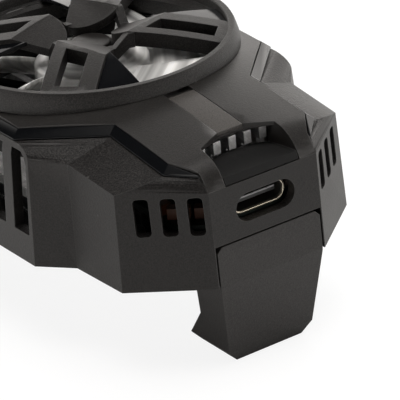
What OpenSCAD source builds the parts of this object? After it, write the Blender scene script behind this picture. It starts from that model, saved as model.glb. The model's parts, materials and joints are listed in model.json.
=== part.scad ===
// Clip-on thermoelectric cooling fan for a phone.
// The origin is the centre of the cooling face that presses on the phone, which is z = 0.
// +Z points up through the fan, and the cable port faces -Y.

/* [Housing] */
// Length over the two port faces
body_len = 84; // [80:0.5:92]
// Width over the slotted side panels at the base
body_w = 47.4; // [46:0.2:52]
// Width of each flat port face at the base
port_face_w = 18.2; // [17.4:0.2:20]
// Width over the straight flanks at the base
flank_w = 38.7; // [37.5:0.1:41]
// Depth of the angled corner facets, along the length
corner_run = 8.4; // [7:0.2:10]
// Length of each slotted side panel
pod_len = 36.4; // [34:0.2:40]
// Depth of the facets that end the side panels, along the length
pod_facet_run = 4.7; // [3.6:0.1:6]
// How far the side panels lean in at the top, besides the walls' lean
pod_tuck = 0.45; // [0:0.05:0.6]
// Height of the port walls and corner facets above the base
port_wall_h = 14.3; // [13.8:0.1:15]
// Height of the flanks above the base
flank_wall_h = 15.5; // [15:0.1:16.2]
// Inward lean of the walls, in degrees
draft_deg = 2; // [0:0.1:3]
// Wall thickness of the mouldings
wall = 1.5; // [1.2:0.1:1.8]
// How far the cooling face stands below the base
pad_proud = 0.5; // [0.3:0.1:1]

/* [Cover] */
// Height of the crown above the base, at the fan's axis
crown_h = 21.5; // [21:0.1:22.5]
// Radius of the crown across the body
crown_rx = 92; // [80:1:140]
// Radius of the crown along the body
crown_ry = 218; // [190:1:320]
// Width of the cover over the side panels
cover_w = 41.7; // [41:0.1:43]
// Length of the cover's straight edge over each side panel
cover_side_len = 26.2; // [24:0.2:30]
// Width of the cover's tongues
tongue_w = 22.9; // [21:0.1:24]
// Distance from the axis to the root of each tongue
tongue_root_y = 23.4; // [22:0.1:25]
// Radius of the rounded end of each tongue
nose_r = 5.8; // [5.2:0.1:6.4]
// Length over which a nose narrows to the width of the port face
nose_taper = 3.8; // [3.4:0.1:4.2]
// Width of the trim band around the cover, seen from above
trim_run = 1.35; // [1:0.05:1.8]
// Drop of the trim band from the cover to the lower housing
trim_drop = 1.1; // [0.8:0.05:1.5]
// Thickness of the trim band
trim_t = 0.9; // [0.7:0.1:1.2]
// Width of the inlay strip on each tongue
inlay_w = 4.4; // [3.6:0.1:5]
// Thickness of the inlay strips
inlay_t = 0.6; // [0.4:0.1:0.8]

/* [Exhaust scoops] */
// Width of each scoop
scoop_w = 12.5; // [11:0.1:13.4]
// Distance of the scoop's hood from the port face
scoop_run = 7.6; // [7:0.1:8.4]
// Distance of the hood's outer corners from the port face
scoop_corner_run = 5.9; // [5:0.1:6.6]
// Number of heat sink fins that end in each scoop
scoop_fins = 5; // [3:2:5]
// How far the fins reach past the back of the scoop
fin_reach = 0.3; // [0:0.05:0.5]
// Height of the scoop's floor above the port wall
scoop_floor_h = 1.15; // [0.9:0.05:1.3]
// Radius of the scoop floor's crown at its back
scoop_floor_r = 25.6; // [20:0.2:40]
// Thickness of the hood's edge
hood_t = 1; // [0.8:0.05:1.1]
// Width of the dark joint around the scoop's lip
lip_gap = 0.14; // [0.1:0.01:0.2]

/* [Vents] */
// Number of slots in each side panel
pod_slots = 6; // [4:1:6]
// Width of one side slot
pod_slot_w = 3.8; // [3:0.1:4.4]
// Spacing of the side slots
pod_slot_pitch = 6.1; // [5.6:0.05:6.3]
// Number of slots in each corner facet
corner_slots = 3; // [2:1:3]
// Width of one corner slot
corner_slot_w = 2.15; // [1.8:0.05:2.6]
// Spacing of the corner slots
corner_slot_pitch = 3.7; // [3.2:0.05:3.8]
// Height of the corner slots
corner_slot_h = 5.6; // [5:0.1:7]

/* [Fan guard] */
// How far the guard ring's rim stands out past the sides of the cover
ring_over = 0.35; // [0.1:0.05:0.6]
// Extra radius of the guard ring at its foot
ring_flare = 0.55; // [0:0.05:0.6]
// Height of the guard ring's rim above the base
ring_top_h = 22.5; // [22.2:0.1:23.5]
// Width of the guard ring's rim
rim_w = 1.1; // [0.8:0.1:1.6]
// Number of bars in the pinwheel
bars = 4; // [3:1:4]
// Turn of the first bar, in degrees
bar_turn = 226; // [0:1:359]
// Width of one bar
bar_w = 7.8; // [7:0.1:8.2]
// Offset of a bar's middle from the fan's axis
bar_offset = 0.55; // [0:0.05:1]
// Depth of the bars and webs
bar_t = 2.25; // [1.8:0.05:2.6]
// Radius of the dome that the bars follow
dome_r = 89; // [70:1:120]
// Height of the dome above the base, at the fan's axis
dome_h = 24.5; // [24.3:0.1:25.4]
// Width of the slot in each bar
bar_slot_w = 3.5; // [2.8:0.1:3.8]
// Distance from the axis to the corner where a bar's inner edge starts
bar_reach = 7.1; // [6.6:0.1:7.6]
// Slope of the blade-shaped webs inside the bars, in degrees
web_tilt = 20; // [14:1:24]
// Thickness of the webs
web_t = 1.2; // [1:0.1:1.4]
// Thickness of the polished plates beside the bars
plate_t = 0.6; // [0.5:0.05:0.7]
// Step from the guard ring's rim in to the spigot that locates it
spigot_step = 1.6; // [1.4:0.05:1.8]

/* [Fan] */
// Number of blades
blades = 7; // [5:1:9]
// Wall of the shroud around the blades
shroud_t = 0.9; // [0.7:0.05:1]
// Blade pitch at the hub, in degrees
pitch_root = 40; // [34:1:48]
// Blade pitch at the tip, in degrees
pitch_tip = 27; // [22:1:32]
// Blade thickness
blade_t = 0.9; // [0.7:0.05:1.1]
// Radius of the hub
hub_r = 8.4; // [8.2:0.1:9]
// Radius of the flat button at the top of the hub
hub_button_r = 3; // [2.4:0.1:3.1]
// Radius of the fan's shaft
shaft_r = 0.75; // [0.6:0.05:1]
// Radial clearance of the shaft in its bearing
shaft_gap = 0.03; // [0.02:0.01:0.08]
// Gap between the blade tips and the shroud
tip_gap = 0.5; // [0.4:0.05:0.8]

/* [Cooling stack] */
// Side of the cooling face
pad_size = 31; // [28:0.5:33]
// Side of the cold plate
cold_size = 33; // [31:0.5:33.6]
// Thickness of the cold plate
cold_t = 1.8; // [1.4:0.1:2.2]
// Side of the thermoelectric module
module_size = 28; // [24:0.5:30]
// Thickness of one ceramic face of the module
ceramic_t = 0.7; // [0.5:0.05:0.9]
// Height of the semiconductor legs
leg_h = 1.5; // [1.2:0.1:1.8]
// Legs along one side of the module
legs_per_side = 8; // [6:1:10]
// Side of the heat sink
sink_size = 35; // [33:0.5:35.4]
// Thickness of the heat sink's base
sink_base_t = 1.6; // [1.2:0.1:2]
// Height of the heat sink's fins above its base
fin_h = 5.2; // [4.4:0.1:5.6]
// Number of fins
fins = 13; // [9:2:13]
// Thickness of one fin
fin_t = 1.2; // [1:0.05:1.4]
// Spacing of the fins
fin_pitch = 2.58; // [2.4:0.01:2.6]

/* [Cable port] */
// Height of the port's middle above the base
port_h = 10.3; // [10:0.1:10.8]
// Width of the USB-C receptacle
usb_w = 8.94; // [8.94]
// Height of the USB-C receptacle
usb_h = 3.26; // [3.26]
// Margin of the recess around the receptacle
port_margin = 0.45; // [0.3:0.05:0.7]
// Length of the receptacle
usb_len = 7.3; // [6.8:0.1:8]

/* [Phone claws] */
// Height of the claws' tops above the base
claw_h = 5.9; // [5.4:0.1:6.2]
// Margin between a claw and the edge of its port face
claw_inset = 0.4; // [0.3:0.05:0.6]
// Gap around a claw where it passes through the housing
claw_gap = 0.25; // [0.2:0.05:0.35]
// Thickness of a claw's upright under the base
claw_t = 6.4; // [5.8:0.1:7]
// Reach of a claw below the base
claw_drop = 13.2; // [12:0.1:15]
// Width of a claw's foot
claw_foot_w = 11.2; // [10:0.1:13]
// How far the hook's tip stands in from the upright
hook_reach = 4.6; // [3.6:0.1:5]
// Travel of each claw
claw_travel = 10; // [6:0.5:10]
// Width of one claw arm
arm_w = 4.4; // [3.8:0.1:4.8]
// Gap between the two arms of a claw
arm_space = 7.2; // [6.6:0.1:8]
// Thickness of the arms
arm_t = 2.1; // [1.8:0.1:2.3]
// Gap above, below and beside a sliding arm
slide_gap = 0.15; // [0.1:0.05:0.2]
// Gap between the arms' ends and the cold plate
arm_clear = 0.55; // [0.4:0.05:0.8]
// Thickness of the rubber pad on each hook
grip_t = 0.8; // [0.6:0.1:1]

/* [Fasteners] */
// Radius of the base screws' shanks
screw_r = 0.8; // [0.6:0.05:0.9]
// Radius of the base screws' heads
screw_head_r = 1.6; // [1.4:0.1:1.8]
// Radius of the screw posts
post_r = 2.1; // [1.9:0.1:2.3]

/* [Hidden] */
$fn = 64;

eps = 0.01;
seat = 0.1;
far = 60;

base_z = pad_proud;
half_len = body_len / 2;
half_w = body_w / 2;
lean = tan(draft_deg);

// The plan corners of one quarter of the housing, from the side panel to the port face.
pod_y = pod_len / 2;
flank_y = half_len - corner_run;
facet_y = pod_y + pod_facet_run;
pod_x = half_w;
flank_x = flank_w / 2;
facet_x = flank_x + 0.35;
port_x = port_face_w / 2;

// Heights of the wall tops.
port_wall_z = base_z + port_wall_h;
flank_wall_z = base_z + flank_wall_h;

// The crown is a patch of a torus whose large circle runs along the body.
function crown_z(x, y) = base_z + crown_h - crown_ry
    + sqrt(pow(crown_ry - crown_rx + sqrt(crown_rx * crown_rx - x * x), 2) - y * y);

// The nose of each tongue is a cylinder across the body.
nose_front = half_len - 0.2;
nose_cy = nose_front - nose_r;
nose_tilt = atan(nose_cy / crown_ry);
nose_y = nose_cy + nose_r * sin(nose_tilt);
function nose_cz(x) = crown_z(x, nose_y) - nose_r * cos(nose_tilt);
function nose_z(x, y) = nose_cz(x) + sqrt(nose_r * nose_r - pow(y - nose_cy, 2));

// Mirror a quarter into a whole ring of points, anticlockwise from above.
function flip(q, sx, sy) = [for (p = q) [sx * p.x, sy * p.y, p.z]];
function back(q) = [for (i = [len(q) - 1:-1:0]) q[i]];
function whole(q) = concat(q, back(flip(q, -1, 1)), flip(q, -1, -1), back(flip(q, 1, -1)));
function flat(ring) = [for (p = ring) [p.x, p.y]];

// Move each corner of a ring inwards, so that its edges lie d further in.
function normal_of(a, b) = let (d = [b.x - a.x, b.y - a.y]) [-d.y, d.x] / norm(d);
function inset(ring, d) = let (n = len(ring)) [for (i = [0:n - 1])
    let (a = normal_of(ring[(i + n - 1) % n], ring[i]),
        b = normal_of(ring[i], ring[(i + 1) % n]),
        m = (a + b) / (1 + a * b))
    [ring[i].x + d * m.x, ring[i].y + d * m.y, ring[i].z]];
function raise(ring, dz) = [for (p = ring) [p.x, p.y, p.z + dz]];
function mix(a, b, t) = a + (b - a) * t;
function mean(ring) = [for (k = [0:2]) [for (p = ring) p[k]] * [for (p = ring) 1] / len(ring)];

// A solid lofted through rings with the same number of points, listed upwards.
module loft(rings) {
    n = len(rings[0]);
    rows = len(rings);
    points = concat([for (r = rings) each r], [mean(rings[0]), mean(rings[rows - 1])]);
    side = [for (k = [0:rows - 2], i = [0:n - 1])
        let (a = k * n + i, b = k * n + (i + 1) % n) each [[a, a + n, b], [b, a + n, b + n]]];
    low = [for (i = [0:n - 1]) [i, (i + 1) % n, rows * n]];
    high = [for (i = [0:n - 1]) [(rows - 1) * n + (i + 1) % n, (rows - 1) * n + i, rows * n + 1]];
    polyhedron(points, concat(side, low, high), convexity = 8);
}

// Plan corners of the cover, and of the trim band's outer edge around it.
cover_quarter = [[cover_w / 2, cover_side_len / 2, 0], [tongue_w / 2, tongue_root_y, 0],
    [tongue_w / 2, nose_cy, 0], [port_x, nose_cy + nose_taper, 0]];
cover_ring = whole(cover_quarter);
trim_ring = inset(cover_ring, -trim_run);
function on_crown(ring, drop) = [for (p = ring) [p.x, p.y, crown_z(p.x, p.y) - drop]];
cover_edge = on_crown(cover_ring, 0);
trim_edge = [for (i = [0:15]) [trim_ring[i].x, trim_ring[i].y, cover_edge[i].z - trim_drop]];

// Top corners of the walls, leaning in by the draft.
function leaned(x, y, z) = [x - lean * (z - base_z), y - lean * (z - base_z), z];
pod_top = leaned(pod_x - pod_tuck, pod_y, flank_wall_z);
facet_top = leaned(facet_x, facet_y, flank_wall_z + 0.1);
flank_top = leaned(flank_x, flank_y, port_wall_z + 0.15);
port_top = [port_x - 0.05, half_len - lean * port_wall_h, port_wall_z];

// The shoulder of a side panel is a quarter ellipse from the wall top to the trim band.
shoulder_rows = 6;
shoulder = trim_edge[0];
function shoulder_at(t) = let (a = 90 * t)
    [mix(pod_top.x, shoulder.x, sin(a)),
    mix(pod_top.y, shoulder.y, 1 - cos(a)),
    mix(pod_top.z, shoulder.z, sin(a))];
// The ridge of the corner facet bulges outwards a little on its way up.
ridge_bulge = 0.5;
function ridge_at(t) = mix(flank_top, trim_edge[2], t) + ridge_bulge * sin(180 * t) * [0.3, 1, 0.3];
nose_side_y = nose_cy + nose_taper + 0.1;
nose_side = [port_x + 0.35, nose_side_y, nose_z(port_x, nose_side_y)];
rim_drop = [0, 0, 0.3];
function upper_row(t) = whole([shoulder_at(t) - t * rim_drop, mix(facet_top, trim_edge[1] - rim_drop, t),
    ridge_at(t) - t * rim_drop, mix(port_top, nose_side - rim_drop, t)]);
foot_row = whole([[pod_x, pod_y, base_z], [facet_x, facet_y, base_z], [flank_x, flank_y, base_z],
    [port_x, half_len, base_z]]);
shell_rows = concat([foot_row], [for (k = [0:shoulder_rows]) upper_row(k / shoulder_rows)]);
cavity_rows = concat([raise(inset(foot_row, wall), -1)],
    [for (k = [0:shoulder_rows]) raise(inset(upper_row(k / shoulder_rows), wall), -0.6 * wall)]);

// Levels of the cooling stack.
cold_z = base_z;
cold_ceramic_z = cold_z + cold_t;
legs_z = cold_ceramic_z + ceramic_t;
hot_ceramic_z = legs_z + leg_h;
sink_z = hot_ceramic_z + ceramic_t;
fin_z = sink_z + sink_base_t;
sink_top_z = fin_z + fin_h;

// Radii and levels of the guard ring and the fan.
ring_r = cover_w / 2 + ring_over;
ring_in = ring_r - rim_w;
spigot_r = ring_r - spigot_step;
shroud_r = spigot_r - shroud_t;
blade_r = shroud_r - tip_gap;
frame_t = 0.9;
frame_z = sink_top_z;
blade_low_z = frame_z + frame_t + 0.5;
spigot_z = crown_z(0, 0) - 3.6;
hub_low_z = frame_z + frame_t + 0.4;
hub_top_z = crown_z(0, 0) - 0.1;
hub_shoulder_z = hub_top_z - 2.7;

// Levels and lengths of the claws.
plate_z = base_z;
plate_top_z = base_z + wall;
arm_z = plate_top_z + slide_gap;
guide_z = arm_z + arm_t + slide_gap;
guide_t = 1.2;
claw_top_z = base_z + claw_h;
claw_w = port_face_w - 2 * claw_inset;
claw_foot_z = base_z - claw_drop;
claw_inner = half_len - claw_t - 0.4;
claw_block_y = half_len - 4.4;
tab_w = 1.1;
tab_len = 2;
guide_out = claw_block_y - 0.4;
arm_end = cold_size / 2 + arm_clear;
guide_in = arm_end + claw_travel + tab_len + slide_gap;
guide_len = guide_out - guide_in;
arm_x0 = arm_space / 2;
arm_x1 = arm_x0 + arm_w;
rail_w = 1.4;
rail_x = arm_x1 + slide_gap + rail_w;
guide_tab_x = rail_x + screw_head_r + 0.1;

port_z = base_z + port_h;
board_t = 1;
board_z = port_z - usb_h / 2 - board_t;
board_front = half_len - wall - lean * port_h - 0.5;
board_len = 14;
board_w = 23;
board_post_x = rail_x + 1.1;
board_post_y = [board_front - 2.3, board_front - board_len + 2.3];

screw_x = flank_x - wall - 2.1;
screw_y = flank_y - 2.2;

// Repeat the children on the front half and, turned half round, on the rear half.
module front_and_rear() {
    children();
    rotate([0, 0, 180]) children();
}

// A copy on each side of the centre plane.
module left_and_right() {
    children();
    mirror([1, 0, 0]) children();
}

// A copy in each of the four corners.
module four_corners(x, y) {
    for (sx = [-1, 1], sy = [-1, 1]) translate([sx * x, sy * y, 0]) children();
}

// An extrusion across the body of a profile drawn in y and z.
module across(w) {
    rotate([90, 0, 90]) translate([0, 0, -w / 2]) linear_extrude(w) children();
}

// Everything under the crown's torus, lowered by drop.
module crown_solid(drop) {
    translate([0, 0, base_z + crown_h - crown_ry])
        rotate([0, 90, 0])
            rotate_extrude($fn = 360)
                intersection() {
                    translate([crown_ry - crown_rx, 0]) circle(crown_rx - drop, $fn = 360);
                    translate([crown_ry - crown_rx, -far]) square([crown_rx, 2 * far]);
                }
}

// Half the cover's width at a distance y from the axis.
function cover_half(y) = abs(y) <= cover_side_len / 2 ? cover_w / 2
    : abs(y) <= tongue_root_y ? mix(cover_w / 2, tongue_w / 2,
        (abs(y) - cover_side_len / 2) / (tongue_root_y - cover_side_len / 2))
    : abs(y) <= nose_cy ? tongue_w / 2
    : mix(tongue_w / 2, port_x, min(1, (abs(y) - nose_cy) / nose_taper));
function steps(a, b, n) = [for (k = [0:n - 1]) mix(a, b, k / n)];

// The surface over the cover is worked out at stations along the body.
cover_cols = 12;
nose_steps = 10;
function crown_stations(n) = concat(steps(0, cover_side_len / 2, n),
    steps(cover_side_len / 2, tongue_root_y, n), steps(tongue_root_y, nose_cy, n), [nose_cy]);
function cover_x(y, d, k, cols) = (cover_half(y) - 1.2 * d) * (2 * k / cols - 1);
function crown_station(y, d, drop, low, cols) = concat([[cover_x(y, d, 0, cols), y, low]],
    [for (k = [0:cols]) let (x = cover_x(y, d, k, cols)) [x, y, crown_z(x, y) - drop]],
    [[cover_x(y, d, cols, cols), y, low]]);

// On a nose each column follows its own arc, down to just above the block's lower side.
function nose_end(x, r, low) = acos(max(0, (low + 0.15 - nose_cz(x)) / r));
function nose_station(t, d, low, cols) = let (r = nose_r - d,
    y = nose_cy + r * sin(mix(nose_tilt, nose_end(0, r, low), t)))
    concat([[cover_x(y, d, 0, cols), y, low]],
        [for (k = [0:cols]) let (x = cover_x(y, d, k, cols), a = mix(nose_tilt, nose_end(x, r, low), t))
            [x, nose_cy + r * sin(a), nose_cz(x) + r * cos(a)]],
        [[cover_x(y, d, cols, cols), y, low]]);

// The stations on a nose, with one where it stops narrowing.
function nose_times(r, low, n) = let (
    bend = (asin(nose_taper / r) - nose_tilt) / (nose_end(0, r, low) - nose_tilt))
    concat(steps(0, bend, n / 2), steps(bend, 1, n / 2), [1]);

// A block under the cover's surface: moved in by d and lowered by drop, with its noses or without.
module cover_block(d, drop, low, noses, cols = cover_cols, n = nose_steps) {
    straight = [for (y = crown_stations(ceil(n / 3))) crown_station(y, d, drop, low, cols)];
    half = noses ? concat(straight, [for (t = nose_times(nose_r - d, low, n))
        nose_station(t, d, low, cols)]) : straight;
    rear = [for (i = [len(half) - 1:-1:1]) [for (p = half[i]) [p.x, -p.y, p.z]]];
    loft(concat(rear, half));
}

// A rectangle with rounded corners, standing on its lower left corner.
function round_rect(w, h, r) = [for (c = [[w - r, r, -90], [w - r, h - r, 0], [r, h - r, 90],
    [r, r, 180]], k = [0:4]) [c.x + r * cos(c.z + 22.5 * k), c.y + r * sin(c.z + 22.5 * k)]];

// The slots of one corner facet, cut square to the facet.
module corner_vents() {
    facet_turn = atan2(corner_run, flank_x - port_x);
    facet_len = norm([flank_x - port_x, corner_run]);
    last = facet_len - 1.05 - corner_slot_w;
    translate([-flank_x, -flank_y, port_wall_z - 0.6 - corner_slot_h])
        rotate([0, 0, -facet_turn])
            for (k = [0:corner_slots - 1])
                translate([last - k * corner_slot_pitch, 4, 0]) rotate([90, -draft_deg, 0])
                    linear_extrude(8) polygon(round_rect(corner_slot_w, corner_slot_h, 0.6));
}

// The slots of one side panel. The end slots follow the panel's shoulder.
module pod_vents() {
    slot_low = base_z + 4.3;
    slot_high = shoulder.z - 1.1;
    first = -pod_slot_pitch * (pod_slots - 1) / 2 - pod_slot_w / 2;
    edge = 0.6;
    corner = [for (k = [0:shoulder_rows])
        let (p = shoulder_at(k / shoulder_rows)) [p.y - edge, p.z - edge]];
    translate([half_w - 3, 0, 0]) across(6) intersection() {
        for (k = [0:pod_slots - 1])
            translate([first + k * pod_slot_pitch, slot_low])
                square([pod_slot_w, slot_high - slot_low]);
        polygon(concat([[pod_y - edge, slot_low - 1]], corner,
            [for (k = [len(corner) - 1:-1:0]) [-corner[k].x, corner[k].y]],
            [[-pod_y + edge, slot_low - 1]]));
    }
}

// The stadium of the cable port, moved out by d and cut through the port wall.
module port_cut(d) {
    r = usb_h / 2 + d;
    w = usb_w / 2 - usb_h / 2;
    translate([0, -half_len + 3, port_z]) rotate([90, 0, 0]) {
        for (s = [-1, 1]) translate([s * w, 0, 0]) cylinder(r = r, h = 6, $fn = 48);
        translate([-w, -r, 0]) cube([2 * w, 2 * r, 6]);
    }
}

module lower_housing() {
    color("#3a3836") {
        difference() {
            loft(shell_rows);
            loft(cavity_rows);
            // The opening that the cover fills.
            translate([0, 0, port_wall_z]) linear_extrude(far)
                polygon(flat(inset(trim_ring, trim_run - 0.05)));
            translate([-port_x - 0.05, -half_len - 1, port_wall_z])
                cube([2 * port_x + 0.1, 2 * half_len + 2, far]);
            front_and_rear() {
                corner_vents();
                mirror([1, 0, 0]) corner_vents();
                // The pocket that the claw slides through.
                translate([-claw_w / 2 - claw_gap, -half_len - 1, base_z - 2])
                    cube([claw_w + 2 * claw_gap, 6, claw_h + claw_gap + 2]);
            }
            left_and_right() pod_vents();
            port_cut(port_margin);
        }
        // Posts for the base screws, joined to the flanks by a rib.
        for (x = [-screw_x, screw_x], y = [-screw_y, screw_y])
            translate([x, y, plate_top_z + 0.05]) difference() {
                union() {
                    cylinder(r = post_r, h = 6);
                    translate([x > 0 ? 0 : -3, -0.6, 0]) cube([3, 1.2, 6]);
                }
                translate([0, 0, -1]) cylinder(r = screw_r + 0.05, h = 6, $fn = 32);
            }
    }
}

module base_plate() {
    window = cold_size / 2 + 0.2;
    guide_y = (guide_in + guide_out) / 2;
    color("#302f2e") difference() {
        union() {
            translate([0, 0, plate_z]) linear_extrude(wall)
                polygon(flat(inset(foot_row, wall + 2 * seat)));
            // Rests for the control board.
            for (x = [-board_post_x, board_post_x], y = board_post_y)
                translate([x, -y, plate_top_z - 0.5])
                    cylinder(r = 0.9, h = board_z - plate_top_z + 0.5, $fn = 32);
            // Posts that hold the inner ends of the claw springs.
            front_and_rear() translate([0, -arm_end - 1.2, plate_top_z - 0.5])
                cylinder(r = 0.7, h = arm_t + 0.6, $fn = 32);
        }
        translate([-window, -window, -1]) cube([2 * window, 2 * window, far]);
        front_and_rear() translate([-claw_w / 2 - claw_gap, -half_len - 1, -1])
            cube([claw_w + 2 * claw_gap, half_len + 1 - claw_block_y + claw_gap, far]);
        four_corners(screw_x, screw_y) {
            cylinder(r = screw_r + 0.1, h = 10, $fn = 32);
            cylinder(r = screw_head_r + 0.15, h = base_z + 0.8, $fn = 48);
        }
        four_corners(guide_tab_x, guide_y) translate([0, 0, plate_top_z - 1.1])
            cylinder(r = screw_r + 0.02, h = 3, $fn = 32);
    }
}

// Plan of one scoop, moved out by d. Its hood has a middle part and two slanted ends.
module scoop_plan(d) {
    x1 = scoop_w / 2 + d;
    x0 = inlay_w / 2 + 0.4 * d;
    y1 = half_len - scoop_corner_run - 0.4 * d;
    y0 = half_len - scoop_run - d;
    polygon([[-x1, -far], [x1, -far], [x1, -y1], [x0, -y0], [-x0, -y0], [-x1, -y1]]);
}

scoop_wall = 0.9;
scoop_back_y = half_len - scoop_run;
scoop_floor_z = port_wall_z + scoop_floor_h;
hood_low_z = crown_z(0, scoop_back_y) - hood_t;

// Everything under the scoop's floor, lowered by drop. It is level at the lip and crowned at the back.
module under_floor(drop) {
    x1 = scoop_w / 2 + 1;
    function row(y, bend) = concat([[-x1, y, 0]],
        [for (k = [-6:6]) let (x = x1 * k / 6) [x, y, scoop_floor_z - drop - bend * x * x]],
        [[x1, y, 0]]);
    crown = 0.5 / scoop_floor_r;
    loft([row(-half_len - 5, 0), row(-nose_front + 0.9, 0), row(-scoop_back_y, crown), row(0, crown)]);
}

module upper_cover() {
    skirt = 2.4;
    color("#45423f") difference() {
        cover_block(0, 0, port_wall_z + eps, true);
        // The hollow, around the pan of each scoop.
        difference() {
            cover_block(wall - 0.3, wall - 0.2, base_z, true, 7, 4);
            scoop_pans();
        }
        // The skirt ends a little under the trim band.
        difference() {
            cover_block(-2, skirt, base_z, false, 8, 5);
            scoop_pans();
        }
        front_and_rear() scoop_cuts();
        translate([0, 0, base_z]) cylinder(r = spigot_r + seat, h = far, $fn = 180);
    }
}

module scoop_pans() {
    front_and_rear() translate([-scoop_w / 2 - scoop_wall, -far, base_z - 1])
        cube([scoop_w + 2 * scoop_wall, far - scoop_back_y, far]);
}

module scoop_cuts() {
    // The notch in the cover, and below the hood a straight pocket with an open back.
    difference() {
        union() {
            linear_extrude(far) scoop_plan(0);
            translate([-scoop_w / 2, -half_len - 5, 0]) cube([scoop_w, scoop_run + 7, hood_low_z]);
        }
        under_floor(0);
    }
    // Under its floor the pan is open.
    intersection() {
        translate([-scoop_w / 2, -nose_front + 1.4, 0]) cube([scoop_w, scoop_run + 2, far]);
        under_floor(scoop_wall);
    }
    // The joint around the lip.
    translate([-scoop_w / 2, -half_len, port_wall_z - 1]) cube([scoop_w, 1.2, 1 + lip_gap]);
    left_and_right() translate([scoop_w / 2 - lip_gap, -half_len, port_wall_z - 1])
        cube([lip_gap + eps, 1.4, scoop_floor_h + 1]);
    // The bed of the inlay strip.
    difference() {
        translate([-inlay_w / 2, -scoop_back_y - 1, hood_low_z])
            cube([inlay_w, scoop_back_y - spigot_r + 1, far]);
        cover_block(-1, inlay_t, base_z, false);
    }
}

// One inlay strip, from just outside the guard ring to the scoop.
inlay_gap = 1.2;
module inlay_strip() {
    gap = 0.05;
    color("#4b4846") difference() {
        intersection() {
            crown_solid(0.05);
            translate([-inlay_w / 2 + gap, -scoop_back_y + gap, 0])
                cube([inlay_w - 2 * gap, scoop_back_y - ring_r / 2, far]);
        }
        crown_solid(inlay_t - 0.02);
        cylinder(r = ring_r + ring_flare + inlay_gap, h = far, $fn = 180);
    }
}

module front_inlay_strip() { inlay_strip(); }
module rear_inlay_strip() { rotate([0, 0, 180]) inlay_strip(); }

// Half of the trim band: a sloped strip around the cover that runs out to a point at each nose.
module trim_band() {
    ids = [3, 2, 1, 0, 15, 14, 13, 12];
    inner = inset(cover_ring, -0.1);
    sections = [for (i = ids) let (
        tip = (i == 3 || i == 12),
        y = sign(trim_edge[i].y) * nose_side_y,
        lo = tip ? [cover_half(y) + 0.45, y, nose_side.z] : trim_edge[i],
        hi = tip ? [cover_half(y) + 0.12, y, nose_side.z + 0.1]
            : [inner[i].x, inner[i].y, crown_z(inner[i].x, inner[i].y)])
        [lo, hi, [hi.x, hi.y, hi.z - (tip ? 0.3 : trim_t)], [lo.x, lo.y, lo.z - 0.22]]];
    n = len(sections);
    side = [for (k = [0:n - 2], j = [0:3])
        let (a = 4 * k + j, b = 4 * k + (j + 1) % 4) each [[a, b, a + 4], [b, b + 4, a + 4]]];
    ends = [[0, 3, 2], [0, 2, 1], [4 * n - 4, 4 * n - 3, 4 * n - 2], [4 * n - 4, 4 * n - 2, 4 * n - 1]];
    polyhedron([for (s = sections) each s], concat(side, ends), convexity = 6);
}

module right_trim_band() { color("#101317") trim_band(); }
module left_trim_band() { color("#101317") rotate([0, 0, 180]) trim_band(); }

// Heights of the dome that the bars follow.
dome_cz = base_z + dome_h - dome_r;
function dome_z(r) = dome_cz + sqrt(dome_r * dome_r - r * r);

// A bar lies along +X with its middle at bar_mid. Its inner end is slanted.
bar_mid = bar_offset;
bar_lo = bar_mid - bar_w / 2;
bar_hi = bar_mid + bar_w / 2;
bar_in = sqrt(bar_reach * bar_reach - bar_lo * bar_lo);
end_slant = 0.542;
bar_in_hi = bar_in + end_slant * bar_w;
plate_drop = 0.7;
plate_seat_z = dome_z(ring_in) - plate_drop - plate_t - 0.05;

module dome_shell(drop, t) {
    translate([0, 0, dome_cz]) difference() {
        sphere(dome_r - drop, $fn = 300);
        sphere(dome_r - drop - t, $fn = 300);
    }
}

module bar_plan() {
    slot_lo = bar_mid - 0.36 - bar_slot_w / 2;
    slot_hi = slot_lo + bar_slot_w;
    slot_in = bar_in + end_slant * (slot_lo - bar_lo) + 1.45;
    end = ring_in - 1.5;
    difference() {
        polygon([[bar_in, bar_lo], [ring_r, bar_lo], [ring_r, bar_hi], [bar_in_hi, bar_hi]]);
        polygon([[slot_in, slot_lo], [end, slot_lo], [end, slot_hi],
            [slot_in + 0.45 * bar_slot_w, slot_hi]]);
    }
}

// The web inside a bar: hinged on the bar's slanted end, falling towards the axis.
web_r = 4.87;
web_c = [bar_in + 1.74, bar_lo + 4.56];
web_low = [bar_in_hi - 6.13, bar_hi];
module web_plan() {
    intersection() {
        translate(web_c) circle(web_r, $fn = 96);
        polygon([[bar_in, bar_lo], [bar_in_hi, bar_hi], [web_c.x - web_r - 1, bar_hi],
            [web_c.x - web_r - 1, bar_lo]]);
    }
}

module web() {
    run = atan2(bar_w, end_slant * bar_w);
    fall = atan((dome_z(bar_reach) - dome_z(norm([bar_in_hi, bar_hi]))) / norm([bar_w, end_slant * bar_w]));
    intersection() {
        translate([0, 0, base_z]) linear_extrude(far) web_plan();
        translate([bar_in, bar_lo, dome_z(bar_reach)]) rotate([0, 0, run]) rotate([0, fall, 0])
            rotate([-web_tilt, 0, 0]) translate([-10, -1, -web_t]) cube([30, 12, web_t]);
    }
}

// The rib that rises from the web's low corner to the next bar.
module riser() {
    a = web_low;
    b = [-bar_lo, bar_in];
    run = norm(b - a);
    za = dome_z(bar_reach) - 2;
    zb = dome_z(bar_reach) - 0.15;
    translate([a.x, a.y, 0]) rotate([0, 0, atan2(b.y - a.y, b.x - a.x)])
        rotate([90, 0, 0]) translate([0, 0, -0.65]) linear_extrude(1.3)
            polygon([[-0.9, za], [0, za], [run, zb], [run + 0.9, zb], [run + 0.9, zb - bar_t],
                [run, zb - bar_t], [0, za - bar_t + 0.3], [-0.9, za - bar_t + 0.3]]);
}

// Everything under the cover's outside, beyond the spigot.
module cover_below() {
    difference() {
        crown_solid(-0.03);
        cylinder(r = spigot_r, h = far, $fn = 180);
    }
}

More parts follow.
